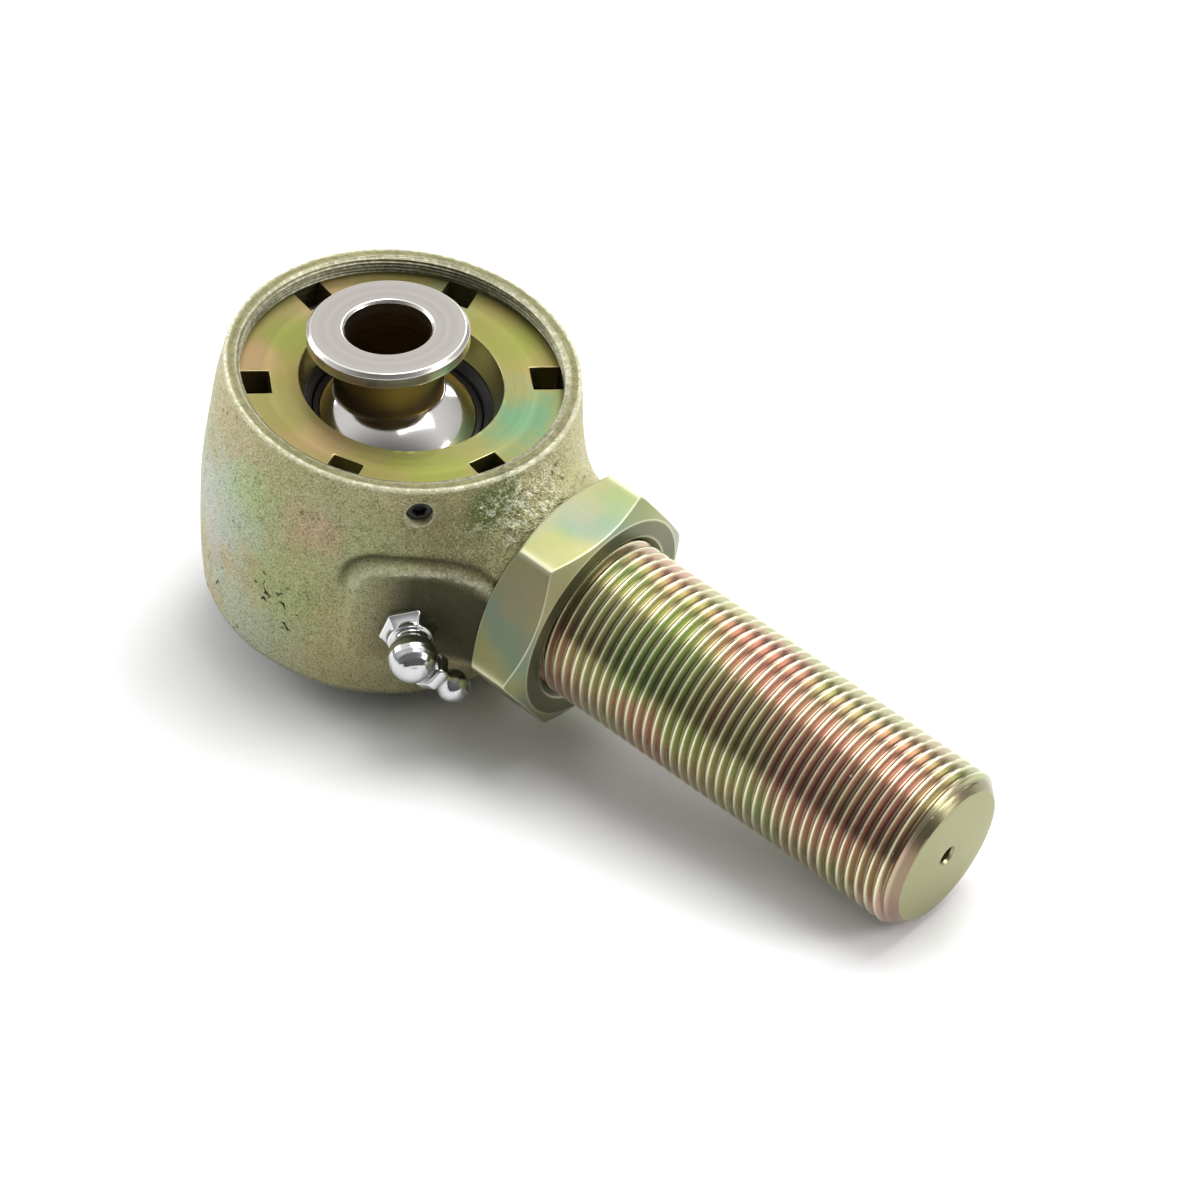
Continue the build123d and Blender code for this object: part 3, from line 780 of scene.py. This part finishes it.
def turning_marks_group():
    """Fine rings round an axis, from noise on the distance to it and the height along it."""
    inputs = [
        ("Centre", "Vector", (0, 0, 0)), ("Axis", "Vector", (0, 0, 1)), ("Rings per metre", "Float", 4000.0),
    ]
    group, given, result = new_group("turning_marks", inputs, [("Height", "Float"), ("Sheen", "Float")])
    moved = vector(group, "SUBTRACT", object_place(group), given["Centre"])
    along = vector(group, "DOT_PRODUCT", moved, given["Axis"])
    carried = put(group, "ShaderNodeVectorMath", {0: given["Axis"], "Scale": along}, operation="SCALE").outputs[0]
    radial = vector(group, "LENGTH", vector(group, "SUBTRACT", moved, carried))
    lookup = put(group, "ShaderNodeCombineXYZ", {"X": radial, "Y": along, "Z": 0.0}).outputs[0]
    rings = noise(group, lookup, given["Rings per metre"], 2.0, 0.7)
    broad = noise(group, lookup, times(group, given["Rings per metre"], 0.18), 2.0, 0.6)
    group.links.new(rings, result["Height"])
    group.links.new(broad, result["Sheen"])
    return group


def handling_marks_group():
    """Thin scratches and small nicks left by handling, as a mask."""
    inputs = [("Scratch Scale", "Float", 90.0), ("Amount", "Float", 1.0)]
    group, given, result = new_group("handling_marks", inputs, [("Mask", "Float")])
    place = object_place(group)
    masks = []
    for turn, stretch in (((0.3, 0.2, 0.8), (1.0, 14.0, 5.0)), ((1.1, -0.5, -0.6), (9.0, 1.0, 16.0))):
        sockets = {"Vector": place, "Rotation": turn, "Scale": stretch}
        line = noise(group, put(group, "ShaderNodeMapping", sockets).outputs[0], given["Scratch Scale"], 2.0, 0.5)
        masks.append(ramp(group, line, 0.73, 0.82))
    both = maths(group, "MAXIMUM", masks[0], masks[1])
    group.links.new(times(group, both, given["Amount"], True), result["Mask"])
    return group


def patch(tree, centre, reach):
    """Soft share: 1 at a place on the part and 0 beyond its ragged reach, both in millimetres."""
    place = object_place(tree)
    away = vector(tree, "DISTANCE", place, tuple(0.001 * value for value in centre))
    ragged = times(tree, minus(tree, noise(tree, place, 170.0, 2.0), 0.5), 0.0012 * reach)
    return minus(tree, 1.0, ramp(tree, plus(tree, away, ragged), 0.00015 * reach, 0.001 * reach))


def stained(tree, colour, stains):
    """Colour with each patch (centre, reach, tint, strength) laid over the last; the housing's patches
    include a painted reflection and painted shade besides stains.
    """
    for centre, reach, tint, strength in stains:
        colour = over(tree, colour, patch(tree, centre, reach), strength, tint)
    return colour


zinc_chromate = zinc_chromate_group()
forged_grain = forged_grain_group()
turning_marks = turning_marks_group()
handling_marks = handling_marks_group()


def use_group(tree, group, **values):
    """A group placed in a material with its own values; underscores in a name stand for spaces."""
    node = tree.nodes.new("ShaderNodeGroup")
    node.node_tree = group
    for key, value in values.items():
        node.inputs[key.replace("_", " ")].default_value = value
    return node.outputs


def chromate(tree, scale, gold, green, blue, rose):
    """Zinc chromate of one cloud scale, each tint but gold given with its amount."""
    tints = {"Green": green, "Blue": blue, "Rose": rose}
    values = {name: (*tint, 1) for name, (tint, _) in tints.items()}
    values.update({name + "_Amount": amount for name, (_, amount) in tints.items()})
    return use_group(tree, zinc_chromate, Gold=(*gold, 1), Cloud_Scale=scale, **values)


def rings_about(tree, place, per_metre):
    """Turning marks round the z axis of a place."""
    origin, axes = place
    centre, axis = tuple(origin * 0.001), tuple(axes[2])
    return use_group(tree, turning_marks, Centre=centre, Axis=axis, Rings_per_metre=per_metre)


def metal(name, metallic, roughness):
    """Material with a Principled shader, and its tree and shader."""
    material = bpy.data.materials.new(name)
    material.use_nodes = True
    tree = material.node_tree
    shader = tree.nodes["Principled BSDF"]
    shader.inputs["Metallic"].default_value = metallic
    shader.inputs["Roughness"].default_value = roughness
    return material, tree, shader


def wire(tree, shader, colour, rough, height, strength, distance):
    """Links of the shader's colour and roughness, and of its normal through a bump of a height, a strength
    and a distance in metres."""
    sockets = {"Height": height, "Strength": strength, "Distance": distance}
    normal = put(tree, "ShaderNodeBump", sockets).outputs[0]
    for name, value in (("Base Color", colour), ("Roughness", rough), ("Normal", normal)):
        tree.links.new(value, shader.inputs[name])


# ---------------------------------------------------------------- materials


def housing_material():
    """Chromated forging: grainy olive skin with soft green, blue and rose stains, dark pits in groups,
    painted shade on the boss, in its groove and inside the mouth, a painted reflection of the floor on the
    left side, painted shade on the front right, painted sparkle and glints on the neck, edges lightened
    partly as wear and partly as painted highlight, and cut faces in uneven dark olive."""
    material, tree, shader = metal("chromated_forging", 0.85, 0.5)
    tint = chromate(
        tree, 30.0, (0.49, 0.44, 0.22), ((0.39, 0.44, 0.18), 0.7), ((0.45, 0.50, 0.33), 0.35),
        ((0.48, 0.37, 0.24), 0.4),
    )
    left_edge_painted_reflection, sea, leaf, rose = (0.50, 0.51, 0.48), (0.43, 0.53, 0.39), (0.38, 0.47, 0.20), (0.60, 0.40, 0.26)
    front_right_painted_shade, moss = (0.24, 0.22, 0.10), (0.10, 0.15, 0.03)
    stains = [
        # the first patch, on the left side, is a painted reflection of the bright floor; the sea, leaf and rose
        # patches are chromate stains
        ((-18, -30, 2), 19, left_edge_painted_reflection, 0.8), ((-7, -33, 8), 15, sea, 0.75), ((-5, -33, -18), 15, sea, 0.7),
        ((-1, -34, 14), 10, leaf, 0.7), ((4, -34, -6), 13, leaf, 0.6), ((11, -33, 11), 9, rose, 0.65),
        # the two dark olive patches on the front right are painted shade
        ((31, -18, 12), 17, front_right_painted_shade, 0.7), ((33, -15, -2), 17, front_right_painted_shade, 0.6), ((34, -11, 17), 8, moss, 0.85),
    ]
    grain = use_group(tree, forged_grain, Grain_Scale=2700.0, Pit_Scale=420.0, Pit_Amount=0.8)
    marks = use_group(tree, handling_marks, Scratch_Scale=70.0, Amount=0.35)
    rings = rings_about(tree, barrel_place, 5000.0)
    edge, machined, painted_shade = mark_of(tree, "edge"), mark_of(tree, "machined"), mark_of(tree, "painted_shade")
    place = object_place(tree)
    # patch on the neck where sparkle and glints are painted into the colour; it also lowers roughness and adds
    # crumpled bumps
    neck_gleam = patch(tree, (37, -4, 14), 13)

    # the skin: stains and painted patches of light and shade, dark pits and hollows between grains, bright
    # grains, and painted sparkle and glints on the neck
    colour = stained(tree, tint["Color"], stains)
    colour = over(tree, colour, grain["Pits"], 0.6, (0.05, 0.045, 0.025))
    colour = over(tree, colour, ramp(tree, grain["Height"], 1.0, 0.74), 0.6, (0.10, 0.09, 0.045))
    # bright grains everywhere, with a painted sparkle added on the neck
    grain_and_painted_sparkle_share = plus(tree, 0.5, times(tree, neck_gleam, 0.5))
    colour = over(tree, colour, ramp(tree, grain["Height"], 1.02, 1.35), grain_and_painted_sparkle_share, (0.78, 0.77, 0.56), True)
    painted_neck_glints = times(tree, ramp(tree, noise(tree, place, 640.0, 3.0, 0.7), 0.47, 0.62), neck_gleam)
    colour = over(tree, colour, painted_neck_glints, 0.7, (0.86, 0.88, 0.68))

    # cut faces, painted shade on the boss, in its groove and inside the mouth, edges lightened partly as
    # rubbed wear and partly as painted highlight, painted glints along the edges, and scratches
    uneven = ramp(tree, noise(tree, place, 800.0, 3.0, 0.65), 0.35, 0.65)
    cut = blend_colour(tree, uneven, (0.11, 0.105, 0.045, 1), (0.20, 0.19, 0.09, 1))
    colour = blend_colour(tree, times(tree, machined, 0.85), colour, cut)
    # painted shade on the boss, in its groove and inside the mouth
    colour = over(tree, colour, painted_shade, 0.9, (0.075, 0.074, 0.038))
    # edges lightened: partly rubbed wear, partly painted highlight
    colour = over(tree, colour, edge, 0.65, (0.66, 0.65, 0.48), True)
    # painted glints scattered along the edges
    edge_painted_glints = times(tree, ramp(tree, noise(tree, place, 1100.0, 2.0, 0.6), 0.46, 0.60), edge)
    colour = over(tree, colour, edge_painted_glints, 0.6, (0.84, 0.83, 0.66), True)
    colour = over(tree, colour, marks["Mask"], 0.5, (0.5, 0.49, 0.36))

    # flaked chips on the skin
    flaked = ramp(tree, noise(tree, place, 480.0, 2.0, 0.5, 0.8), 0.62, 0.67)
    chip_places = maths(tree, "MAXIMUM", patch(tree, (3, -34.5, -7), 10), patch(tree, (-20, -28, -18), 9))
    chips = times(tree, times(tree, flaked, chip_places), minus(tree, 1.0, machined))
    colour = over(tree, colour, chips, 1.6, (0.02, 0.017, 0.01), True)

    rough = plus(tree, times(tree, tint["Cloud"], 0.35), 0.32)
    rough = minus(tree, rough, times(tree, machined, 0.1))
    rough = minus(tree, rough, times(tree, neck_gleam, 0.2), True)
    height = times(tree, grain["Height"], minus(tree, 1.0, times(tree, machined, 0.8)))
    height = minus(tree, height, times(tree, chips, 1.2))
    height = plus(tree, height, times(tree, noise(tree, place, 560.0, 3.0, 0.6), times(tree, neck_gleam, 6.0)))
    height = plus(tree, height, times(tree, rings["Height"], times(tree, machined, 0.6)))
    wire(tree, shader, colour, rough, height, 0.9, 0.0004)
    return material


def thread_material():
    """Chromated thread: rose-brown and green bands, painted shade in the roots and the centre drilling, and
    crests lightened partly as rubbed wear and partly as painted highlight.
    """
    material, tree, shader = metal("chromated_thread", 0.92, 0.34)
    tint = chromate(
        tree, 38.0, (0.50, 0.43, 0.25), ((0.26, 0.42, 0.15), 0.75), ((0.46, 0.48, 0.34), 0.4),
        ((0.52, 0.28, 0.26), 0.8),
    )
    scratches = use_group(tree, handling_marks, Scratch_Scale=120.0, Amount=1.0)["Mask"]
    rings = rings_about(tree, shank_place, 3500.0)
    crest, end_face = mark_of(tree, "crest"), mark_of(tree, "end_face")
    # painted shade in the thread's roots and inside the centre drilling
    root_painted_shade = minus(tree, 1.0, ramp(tree, crest, 0.0, 0.5))
    colour = over(tree, tint["Color"], root_painted_shade, 0.6, (0.13, 0.085, 0.05))
    colour = blend_colour(tree, end_face, colour, (0.31, 0.31, 0.15, 1))
    # crests lightened, partly rubbed wear and partly painted highlight
    crest_wear_and_painted_highlight_share = minus(tree, 0.75, times(tree, end_face, 0.75))
    colour = over(tree, colour, ramp(tree, crest, 0.74, 0.97), crest_wear_and_painted_highlight_share, (0.80, 0.80, 0.54))
    nicked_share = minus(tree, 0.6, times(tree, end_face, 0.55))
    colour = over(tree, colour, scratches, nicked_share, (0.88, 0.86, 0.76))
    rough = plus(tree, times(tree, tint["Cloud"], 0.25), 0.1)
    rough = plus(tree, rough, times(tree, end_face, 0.12))
    height = plus(tree, rings["Height"], times(tree, scratches, -0.8))
    wire(tree, shader, colour, rough, height, 0.35, 0.00008)
    return material


def nut_material():
    """Chromated nut: satin olive with blue-green and gold clouds, a darker end face towards the shank's end
    and thin painted highlights on its edges.
    """
    material, tree, shader = metal("chromated_nut", 0.85, 0.42)
    tint = chromate(
        tree, 70.0, (0.33, 0.31, 0.13), ((0.21, 0.28, 0.10), 0.7), ((0.14, 0.25, 0.22), 0.7),
        ((0.33, 0.26, 0.17), 0.5),
    )
    grain = use_group(tree, forged_grain, Grain_Scale=3200.0, Pit_Scale=420.0, Pit_Amount=0.35)
    scratches = use_group(tree, handling_marks, Scratch_Scale=60.0, Amount=0.3)["Mask"]
    end_faces = ramp(tree, facing(tree, shank_place), 0.9, 0.98)
    colour = over(tree, tint["Color"], end_faces, 0.75, (0.12, 0.12, 0.06))
    # painted highlight along the chamfer creases and hexagon corners
    colour = over(tree, colour, mark_of(tree, "edge"), 0.8, (0.64, 0.65, 0.46))
    colour = over(tree, colour, scratches, 0.5, (0.5, 0.5, 0.38))
    rough = plus(tree, times(tree, tint["Cloud"], 0.3), 0.27)
    wire(tree, shader, colour, rough, grain["Height"], 0.25, 0.00006)
    return material


def ring_material():
    """Chromated ring: turned face in pale gold with yellow-green, teal and pink clouds, and painted highlight
    on its bevelled edges.
    """
    material, tree, shader = metal("chromated_ring", 0.92, 0.34)
    tint = chromate(
        tree, 46.0, (0.28, 0.24, 0.07), ((0.22, 0.245, 0.055), 0.6), ((0.24, 0.29, 0.12), 0.4),
        ((0.36, 0.26, 0.11), 0.5),
    )
    teal, lime, pink = (0.13, 0.28, 0.16), (0.22, 0.27, 0.05), (0.42, 0.27, 0.15)
    stains = [
        ((24, 8, 20), 13, teal, 0.85), ((23, -14, 20), 10, lime, 0.7), ((-18, -7, 26), 8, lime, 0.7),
        ((-20, -17, 26), 9, pink, 0.7), ((10, 22, 22), 9, lime, 0.6), ((4, -23, 23), 8, pink, 0.5),
        ((-22, 6, 26), 9, pink, 0.5), ((-6, 23, 24), 8, teal, 0.5),
    ]
    rings = rings_about(tree, barrel_place, 4200.0)
    scratches = use_group(tree, handling_marks, Scratch_Scale=80.0, Amount=0.3)["Mask"]
    # painted highlight on faces tilted between flat and upright: the bevelled edges
    upright = facing(tree, barrel_place)
    corner = times(tree, ramp(tree, upright, 0.2, 0.6), ramp(tree, upright, 0.995, 0.9))
    colour = stained(tree, tint["Color"], stains)
    colour = over(tree, colour, corner, 0.7, (0.55, 0.50, 0.26))
    colour = over(tree, colour, scratches, 0.45, (0.5, 0.46, 0.28))
    rough = plus(tree, times(tree, rings["Sheen"], 0.25), 0.2)
    height = minus(tree, rings["Height"], times(tree, scratches, 0.6))
    wire(tree, shader, colour, rough, height, 0.3, 0.00005)
    return material


def chrome_material():
    """Hard chrome on the ball: mirror with faint polishing haze."""
    material, tree, shader = metal("hard_chrome", 1.0, 0.09)
    scratches = use_group(tree, handling_marks, Scratch_Scale=110.0, Amount=1.0)["Mask"]
    rings = rings_about(tree, spool_place, 2600.0)
    colour = blend_colour(tree, rings["Sheen"], (0.50, 0.48, 0.46, 1), (0.58, 0.57, 0.55, 1))
    rough = plus(tree, times(tree, scratches, 0.12), 0.07)
    rough = plus(tree, rough, times(tree, rings["Sheen"], 0.08))
    wire(tree, shader, colour, rough, rings["Height"], 0.12, 0.00002)
    return material


def spacer_material():
    """Satin turned steel of the spacers, faintly warm, with a gilded neck, turning rings, a scratch or two
    and painted highlights on its bevelled rims."""
    material, tree, shader = metal("satin_spacer_steel", 1.0, 0.28)
    rings = rings_about(tree, spool_place, 5200.0)
    scratches = use_group(tree, handling_marks, Scratch_Scale=65.0, Amount=0.9)["Mask"]
    colour = blend_colour(tree, rings["Sheen"], (0.50, 0.46, 0.43, 1), (0.60, 0.57, 0.53, 1))
    height = put(tree, "ShaderNodeSeparateXYZ", {0: object_place(tree)}).outputs["Z"]
    neck = ramp(tree, maths(tree, "ABSOLUTE", height), 0.0308, 0.0300)
    colour = over(tree, colour, neck, 0.75, (0.52, 0.36, 0.12))
    colour = over(tree, colour, scratches, 0.45, (0.24, 0.17, 0.14))
    # painted highlight on the eased rims
    colour = over(tree, colour, mark_of(tree, "edge"), 0.7, (0.93, 0.91, 0.88))
    rough = plus(tree, times(tree, rings["Sheen"], 0.16), 0.16)
    wire(tree, shader, colour, rough, rings["Height"], 0.3, 0.00004)
    return material


def polymer_material():
    """Black moulded race polymer with a faint mould grain and greased sheen."""
    material, tree, shader = metal("black_race_polymer", 0.0, 0.4)
    shader.inputs["Specular IOR Level"].default_value = 0.25
    grain = use_group(tree, forged_grain, Grain_Scale=2600.0, Pit_Scale=500.0, Pit_Amount=0.2)
    colour = blend_colour(tree, grain["Pits"], (0.006, 0.006, 0.006, 1), (0.02, 0.02, 0.018, 1))
    rough = plus(tree, times(tree, grain["Height"], 0.12), 0.38)
    wire(tree, shader, colour, rough, grain["Height"], 0.2, 0.00004)
    return material


def fitting_material(name, place):
    """Bright zinc on the grease fitting: near-mirror turned silver with fine rings and painted highlights on
    its edges.
    """
    material, tree, shader = metal(name, 1.0, 0.16)
    rings = rings_about(tree, place, 3600.0)
    colour = blend_colour(tree, rings["Sheen"], (0.52, 0.53, 0.54, 1), (0.66, 0.66, 0.66, 1))
    # painted highlight along the edges
    colour = over(tree, colour, mark_of(tree, "edge"), 0.6, (0.95, 0.95, 0.94))
    rough = plus(tree, times(tree, rings["Sheen"], 0.14), 0.07)
    wire(tree, shader, colour, rough, rings["Height"], 0.25, 0.00004)
    return material


def oxide_material():
    """Black oxide on the set screw, with worn socket edges."""
    material, tree, shader = metal("black_oxide", 0.4, 0.5)
    grain = use_group(tree, forged_grain, Grain_Scale=5000.0, Pit_Scale=900.0, Pit_Amount=0.4)
    colour = over(tree, (0.008, 0.008, 0.007, 1), mark_of(tree, "edge"), 0.2, (0.12, 0.115, 0.10))
    rough = plus(tree, times(tree, grain["Height"], 0.12), 0.4)
    wire(tree, shader, colour, rough, grain["Height"], 0.3, 0.00003)
    return material


# ---------------------------------------------------------------- dressing the frame


def dress(piece, material, body, node):
    """The piece gets its material, rides on its body and stands for its CAD node."""
    piece.data.materials.clear()
    piece.data.materials.append(material)
    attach(piece, body)
    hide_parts(node)


fitting_zinc = fitting_material("bright_fitting_zinc", fitting_place)
nipple_zinc = fitting_material("bright_nipple_zinc", nipple_place)
spacer_steel = spacer_material()
race_polymer = polymer_material()

dress(housing_forging(), housing_material(), "housing", "housing")
dress(threaded_shank(), thread_material(), "housing", "housing")
dress(hex_jam_nut(), nut_material(), "jam_nut", "jam_nut")
dress(adjusting_ring(), ring_material(), "adjuster_ring", "adjuster_ring")
dress(chrome_ball(), chrome_material(), "ball", "ball")
dress(race("upper_race_skin", 1), race_polymer, "races", "upper_race")
dress(race("lower_race_skin", -1), race_polymer, "races", "lower_race")
dress(spacer("upper_spacer_skin", 1), spacer_steel, "upper_spacer", "upper_spacer")
dress(spacer("lower_spacer_skin", -1), spacer_steel, "lower_spacer", "lower_spacer")
dress(grease_elbow(), fitting_zinc, "housing", "grease_elbow")
dress(grease_nipple(), nipple_zinc, "housing", "grease_nipple")
dress(headless_screw(), oxide_material(), "set_screw", "set_screw")

for node in ("nipple_ball", "nipple_spring"):
    kept = frame["nodes"][node]
    kept.data.materials.clear()
    kept.data.materials.append(nipple_zinc)

# ---------------------------------------------------------------- floor, light and camera

floor_half = 6
corners = [(-1, -1), (1, -1), (1, 1), (-1, 1)]
floor_mesh = bpy.data.meshes.new("floor")
floor_mesh.from_pydata([(x * floor_half, y * floor_half, cad_low.z) for x, y in corners], [], [(0, 1, 2, 3)])
floor = bpy.data.objects.new("floor", floor_mesh)
bpy.context.scene.collection.objects.link(floor)
floor_material, _, floor_shader = metal("pale_paper", 0.0, 0.6)
floor_shader.inputs["Base Color"].default_value = (0.86, 0.86, 0.865, 1)
floor_shader.inputs["Specular IOR Level"].default_value = 0.15
floor_mesh.materials.append(floor_material)

world = bpy.data.worlds.new("studio")
bpy.context.scene.world = world
world.use_nodes = True
sky = world.node_tree
background = sky.nodes["Background"]
direction = put(sky, "ShaderNodeTexCoord").outputs["Generated"]
split = put(sky, "ShaderNodeSeparateXYZ", {0: direction})
height_ramp = put(sky, "ShaderNodeValToRGB", {0: split.outputs["Z"]})
for element, position, level in zip(height_ramp.color_ramp.elements, (0.0, 0.7), (0.30, 1.0)):
    element.position = position
    element.color = (level, level, level, 1)
dark_side = vector(sky, "DOT_PRODUCT", direction, (0.62, -0.75, 0.2))
studio_colour = over(sky, height_ramp.outputs[0], ramp(sky, dark_side, 0.1, 0.75), 0.85, (0.05, 0.05, 0.05))
sky.links.new(studio_colour, background.inputs["Color"])
background.inputs["Strength"].default_value = 1.05


def soft_light(name, location, aim, size, watts, colour=(1, 1, 1)):
    """Square area light at a place, facing the point it lights."""
    lamp = bpy.data.lights.new(name, "AREA")
    lamp.shape = "SQUARE"
    lamp.size = size
    lamp.energy = watts
    lamp.color = colour
    holder = bpy.data.objects.new(name, lamp)
    holder.location = location
    holder.rotation_mode = "QUATERNION"
    holder.rotation_quaternion = (Vector(aim) - Vector(location)).to_track_quat("-Z", "Y")
    bpy.context.scene.collection.objects.link(holder)


soft_light("overhead_box", (0.1, 0.25, 0.9), (0.03, 0.0, 0.0), 0.6, 6.0)
soft_light("back_box", (-0.2, 0.9, 0.5), (0.03, 0.0, 0.0), 0.4, 2.6)
soft_light("left_box", (-0.85, -0.2, 0.4), (0.0, 0.0, 0.0), 0.4, 3.2)
soft_light("right_box", (0.8, 0.35, 0.45), (0.05, 0.0, 0.0), 0.35, 3.6)

view_azimuth = radians(39.63)
view_elevation = radians(39.56)
view_roll = radians(0.95)
view_distance = 0.92917
camera_data = bpy.data.cameras.new("camera")
camera_data.sensor_width = 36.0
camera_data.lens = 153.8
camera_data.clip_start = 0.05
camera_data.clip_end = 50.0
camera = bpy.data.objects.new("camera", camera_data)
target = Vector((0.04928, 0.00189, -0.00523))
back = Vector(
    (sin(view_azimuth) * cos(view_elevation), -cos(view_azimuth) * cos(view_elevation), sin(view_elevation))
)
camera.location = target + back * view_distance
camera.rotation_mode = "QUATERNION"
camera.rotation_quaternion = (-back).to_track_quat("-Z", "Y") @ Quaternion((0, 0, 1), view_roll)
bpy.context.scene.collection.objects.link(camera)
bpy.context.scene.camera = camera
bpy.context.scene.view_settings.view_transform = "Standard"
